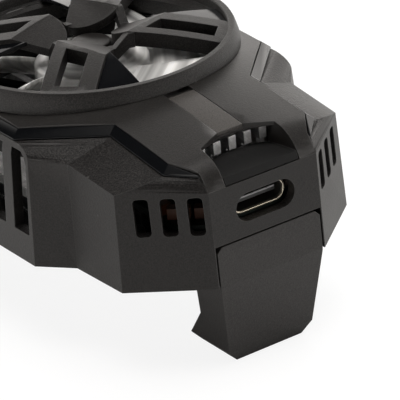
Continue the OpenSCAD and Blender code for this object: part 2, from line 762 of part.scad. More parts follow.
module fan_guard() {
    foot_z = crown_z(0, 0) - 2.2;
    color("#3f3c3a") {
        // The raised ring, standing on the cover.
        difference() {
            rotate_extrude($fn = 180) polygon([[spigot_r - 0.8, foot_z], [ring_r + ring_flare, foot_z],
                [ring_r + ring_flare, foot_z + 1.1], [ring_r + 0.1, base_z + ring_top_h - 0.5],
                [ring_r - 0.15, base_z + ring_top_h], [ring_in + 0.15, base_z + ring_top_h],
                [ring_in, base_z + ring_top_h - 0.15], [ring_in, plate_seat_z],
                [spigot_r - 0.8, plate_seat_z - 0.7]]);
            cover_below();
        }
        // The spigot that locates it in the cover.
        translate([0, 0, spigot_z]) difference() {
            cylinder(r = spigot_r, h = foot_z + 0.2 - spigot_z, $fn = 180);
            translate([0, 0, -1]) cylinder(r = spigot_r - 0.8, h = far, $fn = 180);
        }
        // The bars, with the webs and risers that join them.
        difference() {
            intersection() {
                translate([0, 0, base_z]) cylinder(r = ring_in + 0.4, h = far, $fn = 180);
                dome_shell(0, bar_t);
                for (k = [0:bars - 1]) rotate([0, 0, bar_turn + 90 * k])
                    linear_extrude(far) bar_plan();
            }
            cover_below();
        }
        for (k = [0:bars - 1]) rotate([0, 0, bar_turn + 90 * k]) {
            web();
            riser();
        }
    }
}

// Polished plates that fill the corner between each bar and the ring.
module guard_plates() {
    color("#0c0d0f") intersection() {
        dome_shell(plate_drop, plate_t);
        translate([0, 0, base_z]) cylinder(r = ring_in - 0.06, h = far, $fn = 180);
        for (k = [0:bars - 1]) rotate([0, 0, bar_turn + 90 * k]) linear_extrude(far)
            polygon([[8.2, bar_hi + 0.06], [ring_r, bar_hi + 0.06], [ring_r, 13.5], [16.2, 10.4]]);
    }
}

// One blade as a thin twisted sheet, from inside the hub to the shroud.
blade_root_h = hub_shoulder_z - blade_low_z - 0.6;
blade_tip_h = dome_z(blade_r) - bar_t - 0.9 - blade_low_z;
module blade() {
    nr = 6;
    nc = 7;
    r0 = hub_r - 0.4;
    function at(i, j, side) = let (r = mix(r0, blade_r, i / nr), pitch = mix(pitch_root, pitch_tip, i / nr),
        h = mix(blade_root_h, blade_tip_h, sin(90 * i / nr)),
        arc = h / tan(pitch) / r * 180 / PI, c = j / nc - 0.5,
        t = blade_t * (1 - 0.75 * pow(2 * c, 4)) / 2 / cos(pitch), a = arc * c + 16 * i / nr)
        [r * cos(a), r * sin(a), blade_low_z + blade_t / 2 + h * (c + 0.5) + side * t];
    // Each ring goes once around the sheet's section at one radius.
    rows = [for (i = [0:nr]) concat([for (j = [0:nc]) at(i, j, -1)], [for (j = [nc:-1:0]) at(i, j, 1)])];
    loft(rows);
}

module fan_impeller() {
    color("#2f2c29") difference() {
        union() {
            rotate_extrude($fn = 120) polygon([[0, hub_low_z], [hub_r, hub_low_z],
                [hub_r, hub_shoulder_z], [hub_r - 0.9, hub_shoulder_z + 0.5],
                [hub_button_r + 1.2, hub_top_z - 1.1], [hub_button_r + 0.2, hub_top_z - 0.9],
                [hub_button_r, hub_top_z], [0, hub_top_z]]);
            for (k = [0:blades - 1]) rotate([0, 0, 360 / blades * k + 12]) blade();
        }
        translate([0, 0, hub_low_z - 1]) cylinder(r = cup_r, h = cup_top_z - hub_low_z + 1, $fn = 96);
        translate([0, 0, hub_low_z - 1]) cylinder(r = shaft_r, h = shaft_top_z - hub_low_z + 1, $fn = 48);
    }
}

// Motor: the cup, magnet and shaft turn with the hub around the stator.
cup_r = hub_r - 0.8;
cup_t = 0.5;
cup_top_z = hub_shoulder_z - 0.7;
cup_low_z = hub_low_z + 0.4;
magnet_t = 0.8;
shaft_top_z = cup_top_z + 1.6;
shaft_low_z = frame_z + 1;
bearing_r = 1.6;
tube_r = 2.2;
bearing_low_z = frame_z + 1.2;
bearing_top_z = cup_top_z - cup_t - 0.7;
core_low_z = frame_z + frame_t + 1.5;
core_h = 2;
core_r = cup_r - cup_t - magnet_t - 0.35;

module rotor_cup() {
    color("#9a9c9e") difference() {
        translate([0, 0, cup_low_z]) cylinder(r = cup_r, h = cup_top_z - cup_low_z, $fn = 96);
        translate([0, 0, cup_low_z - 1])
            cylinder(r = cup_r - cup_t, h = cup_top_z - cup_t - cup_low_z + 1, $fn = 96);
        cylinder(r = shaft_r, h = far, $fn = 48);
    }
}

module rotor_magnet() {
    color("#3b3532") translate([0, 0, cup_low_z + 0.2]) difference() {
        cylinder(r = cup_r - cup_t, h = cup_top_z - cup_t - cup_low_z - 0.6, $fn = 96);
        translate([0, 0, -1]) cylinder(r = cup_r - cup_t - magnet_t, h = 10, $fn = 96);
    }
}

module fan_shaft() {
    color("#c9cbcd") translate([0, 0, shaft_low_z])
        cylinder(r = shaft_r, h = shaft_top_z - shaft_low_z, $fn = 48);
}

module fan_bearing() {
    color("#b08b4a") translate([0, 0, bearing_low_z]) difference() {
        cylinder(r = bearing_r, h = bearing_top_z - bearing_low_z, $fn = 64);
        translate([0, 0, -1]) cylinder(r = shaft_r + shaft_gap, h = 10, $fn = 48);
    }
}

module stator_core() {
    color("#8c8f92") translate([0, 0, core_low_z]) difference() {
        union() {
            cylinder(r = tube_r + 1, h = core_h, $fn = 64);
            for (k = [0:5]) rotate([0, 0, 60 * k]) {
                translate([tube_r + 0.5, -0.6, 0]) cube([core_r - tube_r - 1, 1.2, core_h]);
                intersection() {
                    difference() {
                        cylinder(r = core_r, h = core_h, $fn = 96);
                        translate([0, 0, -1]) cylinder(r = core_r - 0.7, h = 10, $fn = 96);
                    }
                    translate([0, -2.1, 0]) cube([10, 4.2, core_h]);
                }
            }
        }
        translate([0, 0, -1]) cylinder(r = tube_r, h = 10, $fn = 64);
    }
}

module stator_coils() {
    c0 = tube_r + 1.15;
    c1 = core_r - 0.85;
    color("#b4622e") for (k = [0:5]) rotate([0, 0, 60 * k])
        translate([c0, 0, core_low_z - 0.45]) difference() {
            translate([0, -1.05, 0]) cube([c1 - c0, 2.1, core_h + 0.9]);
            translate([-1, -0.62, 0.43]) cube([5, 1.24, core_h + 0.04]);
        }
}

module motor_board() {
    color("#2c5a3a") translate([0, 0, frame_z + frame_t]) difference() {
        cylinder(r = cup_r - cup_t - magnet_t - 0.3, h = 0.6, $fn = 72);
        translate([0, 0, -1]) cylinder(r = tube_r + 0.1, h = 4, $fn = 48);
    }
}

frame_screw_xy = sink_size / 2 - 1.9;
lead_w = 1;
// The lead goes down between two of the fins that reach the scoop.
fan_lead_x = fin_pitch / 2;

// The fan's frame: shroud, spokes, motor seat and four feet on the heat sink's posts.
module fan_frame() {
    color("#262524") difference() {
        union() {
            translate([0, 0, frame_z]) cylinder(r = hub_r, h = frame_t, $fn = 96);
            for (a = [0:45:315]) rotate([0, 0, a + 22.5])
                translate([hub_r - 1, -0.7, frame_z]) cube([shroud_r - hub_r + 1.4, 1.4, frame_t]);
            translate([0, 0, frame_z]) difference() {
                cylinder(r = spigot_r, h = spigot_z - 0.3 - frame_z, $fn = 180);
                translate([0, 0, -1]) cylinder(r = shroud_r, h = 20, $fn = 180);
            }
            translate([0, 0, frame_z]) cylinder(r = tube_r, h = bearing_top_z - frame_z, $fn = 64);
            four_corners(frame_screw_xy, frame_screw_xy) translate([0, 0, frame_z])
                cylinder(r = 1.9, h = frame_t, $fn = 48);
            for (a = [45:90:315]) rotate([0, 0, a])
                translate([shroud_r + 0.3, -1.3, frame_z])
                    cube([frame_screw_xy * sqrt(2) - shroud_r - 0.3, 2.6, frame_t]);
        }
        translate([0, 0, bearing_low_z - 0.02]) cylinder(r = bearing_r, h = 20, $fn = 64);
        translate([0, 0, shaft_low_z - 0.3]) cylinder(r = shaft_r + 0.4, h = 5, $fn = 48);
        four_corners(frame_screw_xy, frame_screw_xy) translate([0, 0, frame_z - 1])
            cylinder(r = screw_r + 0.1, h = 5, $fn = 32);
        // The way out for the motor's leads.
        translate([fan_lead_x - lead_w / 2 - 0.2, -spigot_r - 2, frame_z - 1])
            cube([lead_w + 0.4, 5, 1.6]);
    }
}

module screw(head_r, head_h, shank_r, shank_h) {
    difference() {
        union() {
            cylinder(r = head_r, h = head_h, $fn = 48);
            translate([0, 0, -shank_h]) cylinder(r = shank_r, h = shank_h + 0.1, $fn = 32);
        }
        for (a = [0, 90]) rotate([0, 0, a])
            translate([-0.6 * head_r, -0.15, 0.55 * head_h]) cube([1.2 * head_r, 0.3, head_h]);
    }
}

module frame_screws() {
    color("#b9bbbd") four_corners(frame_screw_xy, frame_screw_xy)
        translate([0, 0, frame_z + frame_t]) screw(1.5, 0.9, screw_r - 0.05, 4);
}

// Finned heat sink. The inner fins reach out over the board to the exhaust scoops.
fin_out = scoop_back_y + fin_reach;
fin_up = spigot_r + 0.8;
fin_foot_z = scoop_floor_z + 0.2;

module heat_sink() {
    half = sink_size / 2;
    color("#c2c5c8") difference() {
        union() {
            translate([-half, -half, sink_z]) cube([sink_size, sink_size, sink_base_t]);
            difference() {
                for (k = [0:fins - 1])
                    translate([(k - (fins - 1) / 2) * fin_pitch - fin_t / 2, -half, sink_z])
                        cube([fin_t, sink_size, sink_top_z - sink_z]);
                four_corners(frame_screw_xy, frame_screw_xy) translate([0, 0, fin_z])
                    cylinder(r = 2.4, h = 20, $fn = 48);
            }
            four_corners(frame_screw_xy, frame_screw_xy) translate([0, 0, fin_z - 0.5])
                cylinder(r = 1.85, h = sink_top_z - fin_z + 0.5, $fn = 48);
            front_and_rear() for (k = [0:scoop_fins - 1])
                let (x = (k - (scoop_fins - 1) / 2) * fin_pitch,
                    top = crown_z(abs(x) + fin_t / 2, scoop_back_y) - hood_t - 0.15)
                translate([x, 0, 0]) across(fin_t)
                    polygon([[-half + 1, sink_top_z], [-half + 1, sink_top_z - 3],
                        [-fin_up - 2, sink_top_z - 1.6], [-fin_out + 0.8, fin_foot_z - 1.2],
                        [-fin_out + 0.8, fin_foot_z], [-fin_out, fin_foot_z],
                        [-fin_out, top], [-fin_out + 1.7, top], [-fin_out + 1.7, top - 0.35],
                        [-fin_up, top - 0.35], [-fin_up, sink_top_z]]);
        }
        four_corners(frame_screw_xy, frame_screw_xy) translate([0, 0, fin_z + 0.6])
            cylinder(r = screw_r - 0.05, h = 20, $fn = 32);
    }
}

module hot_ceramic() {
    color("#e4e2dc") translate([-module_size / 2, -module_size / 2, hot_ceramic_z])
        cube([module_size, module_size, ceramic_t]);
}

module cold_ceramic() {
    color("#e4e2dc") translate([-module_size / 2, -module_size / 2, cold_ceramic_z])
        cube([module_size, module_size, ceramic_t]);
}

module module_legs() {
    pitch = (module_size - 2) / legs_per_side;
    color("#6f7378") for (i = [0:legs_per_side - 1], j = [0:legs_per_side - 1])
        translate([(i - (legs_per_side - 1) / 2) * pitch, (j - (legs_per_side - 1) / 2) * pitch,
            legs_z + leg_h / 2])
            cube([0.45 * pitch, 0.45 * pitch, leg_h], center = true);
}

module foam_gasket() {
    outer = cold_size - 0.4;
    inner = module_size + 0.4;
    h = sink_z - cold_ceramic_z;
    color("#4d4f52") difference() {
        translate([-outer / 2, -outer / 2, cold_ceramic_z]) cube([outer, outer, h]);
        translate([-inner / 2, -inner / 2, 0]) cube([inner, inner, far]);
        // The notch for the module's leads.
        translate([-lead_x - 0.7, -outer, legs_z - 0.1]) cube([2 * lead_x + 1.4, outer, far]);
    }
}

module cold_plate() {
    color("#d3d5d7") translate([-cold_size / 2, -cold_size / 2, cold_z])
        cube([cold_size, cold_size, cold_t]);
}

module thermal_pad() {
    color("#8f98a3") translate([-pad_size / 2, -pad_size / 2, 0])
        cube([pad_size, pad_size, cold_z]);
}

// The module's two leads run out through the gasket and up to the board.
lead_x = 2.3;
lead_r = 0.4;
lead_z = legs_z + 0.75;
lead_bend_y = cold_size / 2 + 3.2;
lead_end_y = board_front - board_len - 0.9;

module lead() {
    rise = board_z + board_t + 0.5 - lead_z;
    run = lead_end_y - lead_bend_y;
    tilt = atan2(rise, run);
    translate([0, -module_size / 2 - 0.3, lead_z]) rotate([90, 0, 0])
        cylinder(r = lead_r, h = lead_bend_y - module_size / 2 - 0.3, $fn = 24);
    translate([0, -lead_bend_y, lead_z]) {
        sphere(lead_r + 0.03, $fn = 24);
        rotate([90 - tilt, 0, 0]) cylinder(r = lead_r, h = norm([rise, run]), $fn = 24);
    }
    translate([0, -lead_end_y, lead_z + rise]) {
        sphere(lead_r + 0.03, $fn = 24);
        rotate([90, 0, 0]) cylinder(r = lead_r, h = 2.6, $fn = 24);
    }
}

module red_lead() { color("#8e1f1c") translate([lead_x, 0, 0]) lead(); }
module black_lead() { color("#1b1b1c") translate([-lead_x, 0, 0]) lead(); }

// Flat lead from the motor, under the shroud and down to the board.
module fan_lead() {
    z0 = frame_z + 0.05;
    z1 = board_z + board_t + 0.02;
    y1 = board_front - board_len;
    color("#55504c") translate([fan_lead_x, 0, 0]) across(lead_w) polygon([
        [-hub_r - 0.1, z0 + 0.4], [-hub_r - 0.1, z0], [-spigot_r - 0.6, z0],
        [-y1 + 0.4, z1 + 0.4], [-y1 - 1.5, z1], [-y1 - 1.5, z1 + 0.4],
        [-y1 - 0.2, z1 + 0.8], [-spigot_r - 0.9, z0 + 0.4]]);
}

module control_board() {
    color("#1f4d33") intersection() {
        translate([-board_w / 2, -board_front, board_z]) cube([board_w, board_len, board_t]);
        linear_extrude(far) polygon(flat(inset(foot_row, wall + 0.9)));
    }
}

// The parts on the board are placed by x and by the distance from its front edge.
chip_z = board_z + board_t;

module board_chips() {
    color("#17181a") for (c = [[5, 11, 4, 4, 0.8], [-4.9, 11.2, 3, 3, 0.8], [8.7, 8.1, 2.4, 1.6, 0.9],
        [-0.2, 9, 2, 1.25, 0.6]])
        translate([c[0] - c[2] / 2, c[1] - board_front - c[3] / 2, chip_z]) cube([c[2], c[3], c[4]]);
}

module tantalum_capacitors() {
    color("#c77a2a") for (c = [[-9.7, 4.9, 40], [-6.8, 2.5, 40], [-10.5, 8.4, 90]])
        translate([c[0], c[1] - board_front, chip_z]) rotate([0, 0, -c[2]])
            translate([-1.6, -0.8, 0]) cube([3.2, 1.6, 1.6]);
}

module choke() {
    color("#6d5848") translate([8.3, 4.2 - board_front, chip_z]) {
        translate([-1.8, -1.8, 0]) cube([3.6, 3.6, 0.7]);
        cylinder(r = 1.7, h = 2.1, $fn = 48);
    }
}

module stadium(w, h, depth) {
    rotate([90, 0, 0]) {
        for (s = [-1, 1]) translate([s * (w - h) / 2, 0, 0]) cylinder(r = h / 2, h = depth, $fn = 48);
        translate([-(w - h) / 2, -h / 2, 0]) cube([w - h, h, depth]);
    }
}

usb_front = board_front + 0.3;
module usb_shell() {
    color("#d8d0be") translate([0, -usb_front + usb_len, port_z]) difference() {
        stadium(usb_w, usb_h, usb_len);
        translate([0, -0.6, 0]) stadium(usb_w - 0.6, usb_h - 0.6, usb_len);
    }
}

module usb_tongue() {
    color("#141414") translate([-3.35, -usb_front + 0.9, port_z - 0.35])
        cube([6.7, usb_len - 1.5, 0.7]);
}

// Side view of a claw, as [distance from the axis, height].
foot_z = base_z - claw_drop;
hook_y = claw_inner;
tip = [hook_y - hook_reach, foot_z + 1.3];
claw_side = [[half_len, base_z], [half_len - lean * claw_h, claw_top_z], [claw_block_y, claw_top_z],
    [claw_block_y, base_z - 0.15], [hook_y + 0.1, base_z - 0.15], [hook_y, base_z - 3.2],
    [hook_y - 0.35, foot_z + 6.45], tip, [tip.x + 1.1, tip.y - 0.95],
    [half_len - 2.35, foot_z], [half_len - 1.7, foot_z + 1.8]];

// Front view of a claw.
claw_front = [[-claw_w / 2, claw_top_z - 0.8], [-claw_w / 2 + 0.8, claw_top_z], [claw_w / 2 - 0.8, claw_top_z],
    [claw_w / 2, claw_top_z - 0.8], [claw_w / 2, base_z - 0.4], [claw_w / 2 - 1.5, foot_z + 1.8],
    [claw_foot_w / 2, foot_z], [-claw_foot_w / 2, foot_z], [-claw_w / 2 + 1.5, foot_z + 1.8],
    [-claw_w / 2, base_z - 0.4]];

// The rubber grip lies along the hook's slope.
slope_top = claw_side[6];
slope_run = norm(tip - slope_top);
slope_turn = atan2(tip.y - slope_top.y, tip.x - slope_top.x);
grip_w = claw_foot_w - 1.2;

module grip_bed(d) {
    translate([0, -slope_top.x, slope_top.y]) rotate([180 - slope_turn, 0, 0])
        translate([-grip_w / 2 - d, 0.38 * slope_run - d, -0.25])
            cube([grip_w + 2 * d, 0.54 * slope_run + 2 * d, grip_t + d]);
}

module claw() {
    color("#3d3b39") {
        difference() {
            intersection() {
                across(claw_w + 2) polygon([for (p = claw_side) [-p.x, p.y]]);
                translate([0, 0, 0]) rotate([90, 0, 0]) linear_extrude(far) polygon(claw_front);
            }
            grip_bed(0.05);
            // The seat of the spring.
            translate([0, -claw_block_y - 1.5, spring_z]) rotate([-90, 0, 0])
                cylinder(r = spring_r + 0.15, h = 5, $fn = 40);
        }
        left_and_right() {
            translate([arm_x0, -claw_block_y - 0.5, arm_z])
                cube([arm_w, claw_block_y - arm_end + 0.5, arm_t]);
            translate([arm_x0, -arm_end - tab_len, arm_z]) cube([arm_w + tab_w, tab_len, arm_t]);
        }
    }
}

module claw_grip() {
    color("#2a2a2b") grip_bed(0);
}

module front_claw() { claw(); }
module rear_claw() { rotate([0, 0, 180]) claw(); }
module front_claw_grip() { claw_grip(); }
module rear_claw_grip() { rotate([0, 0, 180]) claw_grip(); }

// A bridge over the two arms, screwed to the base plate.
module claw_guide() {
    y = (guide_in + guide_out) / 2;
    color("#4a4d50") difference() {
        union() {
            translate([-rail_x, -guide_out, guide_z]) cube([2 * rail_x, guide_len, guide_t]);
            left_and_right() {
                translate([arm_x1 + slide_gap, -guide_out, plate_top_z])
                    cube([rail_w, guide_len, guide_z - plate_top_z + 0.1]);
                translate([rail_x - 0.2, -y - 1.7, plate_top_z])
                    cube([guide_tab_x - rail_x + 0.2, 3.4, 1.2]);
                translate([guide_tab_x, -y, plate_top_z]) cylinder(r = 1.7, h = 1.2, $fn = 48);
            }
        }
        left_and_right() translate([guide_tab_x, -y, 0]) cylinder(r = screw_r + 0.1, h = 20, $fn = 32);
    }
}

module front_claw_guide() { claw_guide(); }
module rear_claw_guide() { rotate([0, 0, 180]) claw_guide(); }

module guide_screws() {
    color("#b9bbbd") four_corners(guide_tab_x, (guide_in + guide_out) / 2)
        translate([0, 0, plate_top_z + 1.2]) screw(1.4, 0.8, screw_r - 0.05, 2.1);
}

module base_screws() {
    color("#2e2f31") four_corners(screw_x, screw_y)
        translate([0, 0, base_z + 0.8]) mirror([0, 0, 1]) screw(screw_head_r, 0.7, screw_r, 5);
}

// Extension spring between a claw and its post: one tube along a helix.
spring_r = 1;
spring_wire = 0.3;
spring_z = arm_z + arm_t / 2;
spring_turns = 14;

module claw_spring() {
    y0 = arm_end + 2.1;
    y1 = claw_block_y + 1.3;
    pitch = (y1 - y0) / spring_turns;
    n = 12;
    color("#a9acaf") loft([for (k = [0:n * spring_turns])
        let (a = 360 * k / n, y = -y0 - pitch * k / n,
            c = [spring_r * cos(a), y, spring_z + spring_r * sin(a)],
            u = [cos(a), 0, sin(a)])
        [for (q = [0:4]) c + spring_wire / 2 * (cos(72 * q) * u + sin(72 * q) * [0, -1, 0])]]);
}

module front_spring() { claw_spring(); }
module rear_spring() { rotate([0, 0, 180]) claw_spring(); }

lower_housing();
base_plate();
upper_cover();
left_trim_band();
right_trim_band();
front_inlay_strip();
rear_inlay_strip();
fan_guard();
guard_plates();
fan_impeller();
rotor_cup();
rotor_magnet();
fan_shaft();
fan_frame();
fan_bearing();
stator_core();
stator_coils();
motor_board();
frame_screws();
heat_sink();
hot_ceramic();
module_legs();
cold_ceramic();
foam_gasket();
cold_plate();
thermal_pad();
control_board();
board_chips();
tantalum_capacitors();
choke();
usb_shell();
usb_tongue();
red_lead();
black_lead();
fan_lead();
front_claw();
rear_claw();
front_claw_grip();
rear_claw_grip();
front_claw_guide();
rear_claw_guide();
guide_screws();
front_spring();
rear_spring();
base_screws();
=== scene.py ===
"""Looks of the clip-on phone cooling fan: a moulded black housing, a fan guard, and the parts inside."""
import json
import math

import bpy
import bmesh
import numpy as np
from mathutils import Matrix, Vector


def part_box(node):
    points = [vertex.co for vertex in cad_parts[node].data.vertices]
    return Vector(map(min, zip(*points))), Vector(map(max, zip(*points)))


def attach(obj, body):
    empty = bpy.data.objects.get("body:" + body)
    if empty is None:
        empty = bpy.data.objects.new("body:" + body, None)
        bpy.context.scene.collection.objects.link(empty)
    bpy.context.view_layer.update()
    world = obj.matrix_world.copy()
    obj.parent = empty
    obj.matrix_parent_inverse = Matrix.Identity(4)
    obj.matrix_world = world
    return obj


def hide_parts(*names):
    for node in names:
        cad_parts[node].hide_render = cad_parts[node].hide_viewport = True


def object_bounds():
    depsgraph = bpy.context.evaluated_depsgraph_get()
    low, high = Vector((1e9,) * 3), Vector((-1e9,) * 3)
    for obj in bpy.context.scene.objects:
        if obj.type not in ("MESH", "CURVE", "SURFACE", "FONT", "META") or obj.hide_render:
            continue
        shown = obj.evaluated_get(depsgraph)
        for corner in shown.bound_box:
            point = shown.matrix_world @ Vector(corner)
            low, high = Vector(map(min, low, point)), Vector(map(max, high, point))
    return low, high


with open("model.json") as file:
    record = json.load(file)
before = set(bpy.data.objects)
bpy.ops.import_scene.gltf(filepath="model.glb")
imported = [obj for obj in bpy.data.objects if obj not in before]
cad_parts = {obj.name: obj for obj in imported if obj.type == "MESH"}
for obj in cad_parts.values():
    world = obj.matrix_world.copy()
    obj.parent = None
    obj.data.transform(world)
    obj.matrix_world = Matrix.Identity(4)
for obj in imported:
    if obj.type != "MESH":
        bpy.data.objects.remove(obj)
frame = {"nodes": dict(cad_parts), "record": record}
cad_low, cad_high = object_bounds()
nodes = frame["nodes"]
body_of_node = {n: b for b, members in frame["record"]["behaviour"]["bodies"].items() for n in members}
slot_of_node = {s["node"]: s["material_slot"] for s in frame["record"]["subparts"]}
MM = 0.001


# The camera stands to the left of the port face and looks down on it, with a slight roll.
def set_camera():
    azimuth, elevation, roll = (math.radians(a) for a in (-33.015, 25.748, -5.187))
    back = Vector((math.sin(azimuth) * math.cos(elevation),
                   -math.cos(azimuth) * math.cos(elevation), math.sin(elevation)))
    level = Vector((math.cos(azimuth), math.sin(azimuth), 0))
    above = back.cross(level)
    right = math.cos(roll) * level + math.sin(roll) * above
    up = math.cos(roll) * above - math.sin(roll) * level
    lens = bpy.data.cameras.new("camera")
    lens.sensor_width = 36
    lens.lens = 288.2
    lens.clip_start = 0.02
    lens.clip_end = 20
    camera = bpy.data.objects.new("camera", lens)
    turn = Matrix((right, up, back)).transposed().to_4x4()
    camera.matrix_world = Matrix.Translation((-0.221195, -0.365703, 0.200883)) @ turn
    bpy.context.scene.collection.objects.link(camera)
    bpy.context.scene.camera = camera


set_camera()
bpy.context.scene.view_settings.view_transform = "Standard"


# Small helpers for node trees.
class Tree:
    def __init__(self, tree):
        self.nodes = tree.nodes
        self.links = tree.links

    def add(self, kind, **values):
        node = self.nodes.new(kind)
        for name, value in values.items():
            setattr(node, name, value)
        return node

    def feed(self, socket, value):
        if hasattr(value, "is_output"):
            self.links.new(value, socket)
        else:
            socket.default_value = value

    def math(self, operation, a, b=0.0):
        node = self.add("ShaderNodeMath", operation=operation)
        self.feed(node.inputs[0], a)
        self.feed(node.inputs[1], b)
        return node.outputs[0]

    def remap(self, value, low, high, to_low=0.0, to_high=1.0, smooth=False):
        node = self.add("ShaderNodeMapRange", clamp=True)
        if smooth:
            node.interpolation_type = "SMOOTHSTEP"
        for k, v in enumerate((value, low, high, to_low, to_high)):
            self.feed(node.inputs[k], v)
        return node.outputs[0]

    def mix(self, share, a, b):
        node = self.add("ShaderNodeMix", data_type="RGBA")
        self.feed(node.inputs[0], share)
        self.feed(node.inputs[6], a)
        self.feed(node.inputs[7], b)
        return node.outputs[2]

    def noise(self, vector, scale, detail, roughness=0.5):
        node = self.add("ShaderNodeTexNoise")
        self.feed(node.inputs["Vector"], vector)
        node.inputs["Scale"].default_value = scale
        node.inputs["Detail"].default_value = detail
        node.inputs["Roughness"].default_value = roughness
        return node.outputs[0]

    def scaled(self, vector, factor):
        node = self.add("ShaderNodeVectorMath", operation="SCALE")
        self.feed(node.inputs[0], vector)
        self.feed(node.inputs["Scale"], factor)
        return node.outputs[0]

    def dot(self, a, b):
        node = self.add("ShaderNodeVectorMath", operation="DOT_PRODUCT")
        self.feed(node.inputs[0], a)
        self.feed(node.inputs[1], b)
        return node.outputs["Value"]

    def place(self):
        return self.add("ShaderNodeTexCoord").outputs["Object"]

    def split(self, vector):
        node = self.add("ShaderNodeSeparateXYZ")
        self.feed(node.inputs[0], vector)
        return node.outputs


def new_group(name, inputs, outputs):
    group = bpy.data.node_groups.new(name, "ShaderNodeTree")
    for label, kind, value in inputs:
        socket = group.interface.new_socket(label, in_out="INPUT", socket_type=kind)
        if value is not None:
            socket.default_value = value
    for label, kind in outputs:
        group.interface.new_socket(label, in_out="OUTPUT", socket_type=kind)
    tree = Tree(group)
    return group, tree, tree.add("NodeGroupInput"), tree.add("NodeGroupOutput")


FLOAT, VECTOR = "NodeSocketFloat", "NodeSocketVector"


# Blasted moulding skin: two sizes of rounded grain, dark and light specks, and slow clouds of tone.
def make_blasted_skin():
    group, t, given, out = new_group(
        "blasted_skin",
        [("Grain", FLOAT, 1.0), ("Patch", FLOAT, 0.15), ("Speckle", FLOAT, 0.9)],
        [("Height", FLOAT), ("Tone", FLOAT), ("Rough", FLOAT)])
    place = t.place()
    stretched = t.scaled(place, given.outputs["Grain"])
    fine = t.noise(stretched, 5200, 2.0, 0.55)
    cells = t.add("ShaderNodeTexVoronoi", feature="SMOOTH_F1")
    t.feed(cells.inputs["Vector"], stretched)
    cells.inputs["Scale"].default_value = 3300
    cells.inputs["Smoothness"].default_value = 0.6
    pits = t.remap(cells.outputs["Distance"], 0.15, 0.7)
    height = t.math("ADD", t.math("MULTIPLY", fine, 0.55), t.math("MULTIPLY", pits, 0.45))
    slow = t.noise(place, 90, 4.0, 0.6)
    patch = t.math("MULTIPLY", t.math("SUBTRACT", slow, 0.5), given.outputs["Patch"])
    speckle = t.math("MULTIPLY", t.math("SUBTRACT", fine, 0.5), given.outputs["Speckle"])
    t.feed(out.inputs["Height"], height)
    darkest = 0.15
    t.feed(out.inputs["Tone"], t.math("MAXIMUM", darkest, t.math("ADD", t.math("ADD", 1.0, patch), speckle)))
    t.feed(out.inputs["Rough"], t.math("MULTIPLY", patch, 0.6))
    return group


# Rounded edges: the normal of a small radius, and a mask where it differs from the face; moulded plastic
# uses the mask for paler edges, partly wear and partly a painted edge highlight.
def make_soft_edge():
    group, t, given, out = new_group(
        "soft_edge", [("Radius", FLOAT, 0.00015)], [("Normal", VECTOR), ("Edge", FLOAT)])
    bevel = t.add("ShaderNodeBevel", samples=4)
    t.feed(bevel.inputs["Radius"], given.outputs["Radius"])
    face = t.add("ShaderNodeNewGeometry")
    agreement = t.dot(bevel.outputs[0], face.outputs["True Normal"])
    t.feed(out.inputs["Normal"], bevel.outputs[0])
    t.feed(out.inputs["Edge"], t.remap(agreement, 0.995, 0.85))
    return group


# Fine scratches that run along one axis, for drawn or milled metal.
def make_drawn_grain():
    group, t, given, out = new_group(
        "drawn_grain", [("Along", VECTOR, (1.0, 0.03, 1.0))], [("Height", FLOAT), ("Tone", FLOAT)])
    scale = t.add("ShaderNodeVectorMath", operation="MULTIPLY")
    t.feed(scale.inputs[0], t.place())
    t.feed(scale.inputs[1], given.outputs["Along"])
    lines = t.noise(scale.outputs[0], 4200, 3.0, 0.6)
    t.feed(out.inputs["Height"], lines)
    t.feed(out.inputs["Tone"], t.math("ADD", 0.92, t.math("MULTIPLY", lines, 0.16)))
    return group


# Loose dust, in small specks and faint clouds.
def make_dust():
    group, t, given, out = new_group("dust", [("Amount", FLOAT, 0.3)], [("Dust", FLOAT)])
    place = t.place()
    specks = t.add("ShaderNodeTexVoronoi", feature="F1")
    t.feed(specks.inputs["Vector"], place)
    specks.inputs["Scale"].default_value = 420
    specks.inputs["Randomness"].default_value = 1.0
    dots = t.remap(specks.outputs["Distance"], 0.09, 0.03)
    where = t.remap(t.noise(place, 55, 3.0), 0.52, 0.7)
    t.feed(out.inputs["Dust"], t.math("MULTIPLY", t.math("MULTIPLY", dots, where), given.outputs["Amount"]))
    return group


BLASTED, SOFT_EDGE, DRAWN, DUST = make_blasted_skin(), make_soft_edge(), make_drawn_grain(), make_dust()


def place_group(t, group, **values):
    node = t.add("ShaderNodeGroup", node_tree=group)
    for name, value in values.items():
        t.feed(node.inputs[name], value)
    return node


def start_material(name):
    material = bpy.data.materials.new(name)
    material.use_nodes = True
    material.node_tree.nodes.clear()
    t = Tree(material.node_tree)
    shader = t.add("ShaderNodeBsdfPrincipled")
    out = t.add("ShaderNodeOutputMaterial")
    t.links.new(shader.outputs[0], out.inputs["Surface"])
    return material, t, shader


# The bump of a height over the rounded edges' normal.
def finish_normal(t, shader, height, depth, soft):
    bump = t.add("ShaderNodeBump")
    bump.inputs["Distance"].default_value = depth
    t.feed(bump.inputs["Height"], height)
    t.feed(bump.inputs["Normal"], soft.outputs["Normal"])
    t.feed(shader.inputs["Normal"], bump.outputs[0])
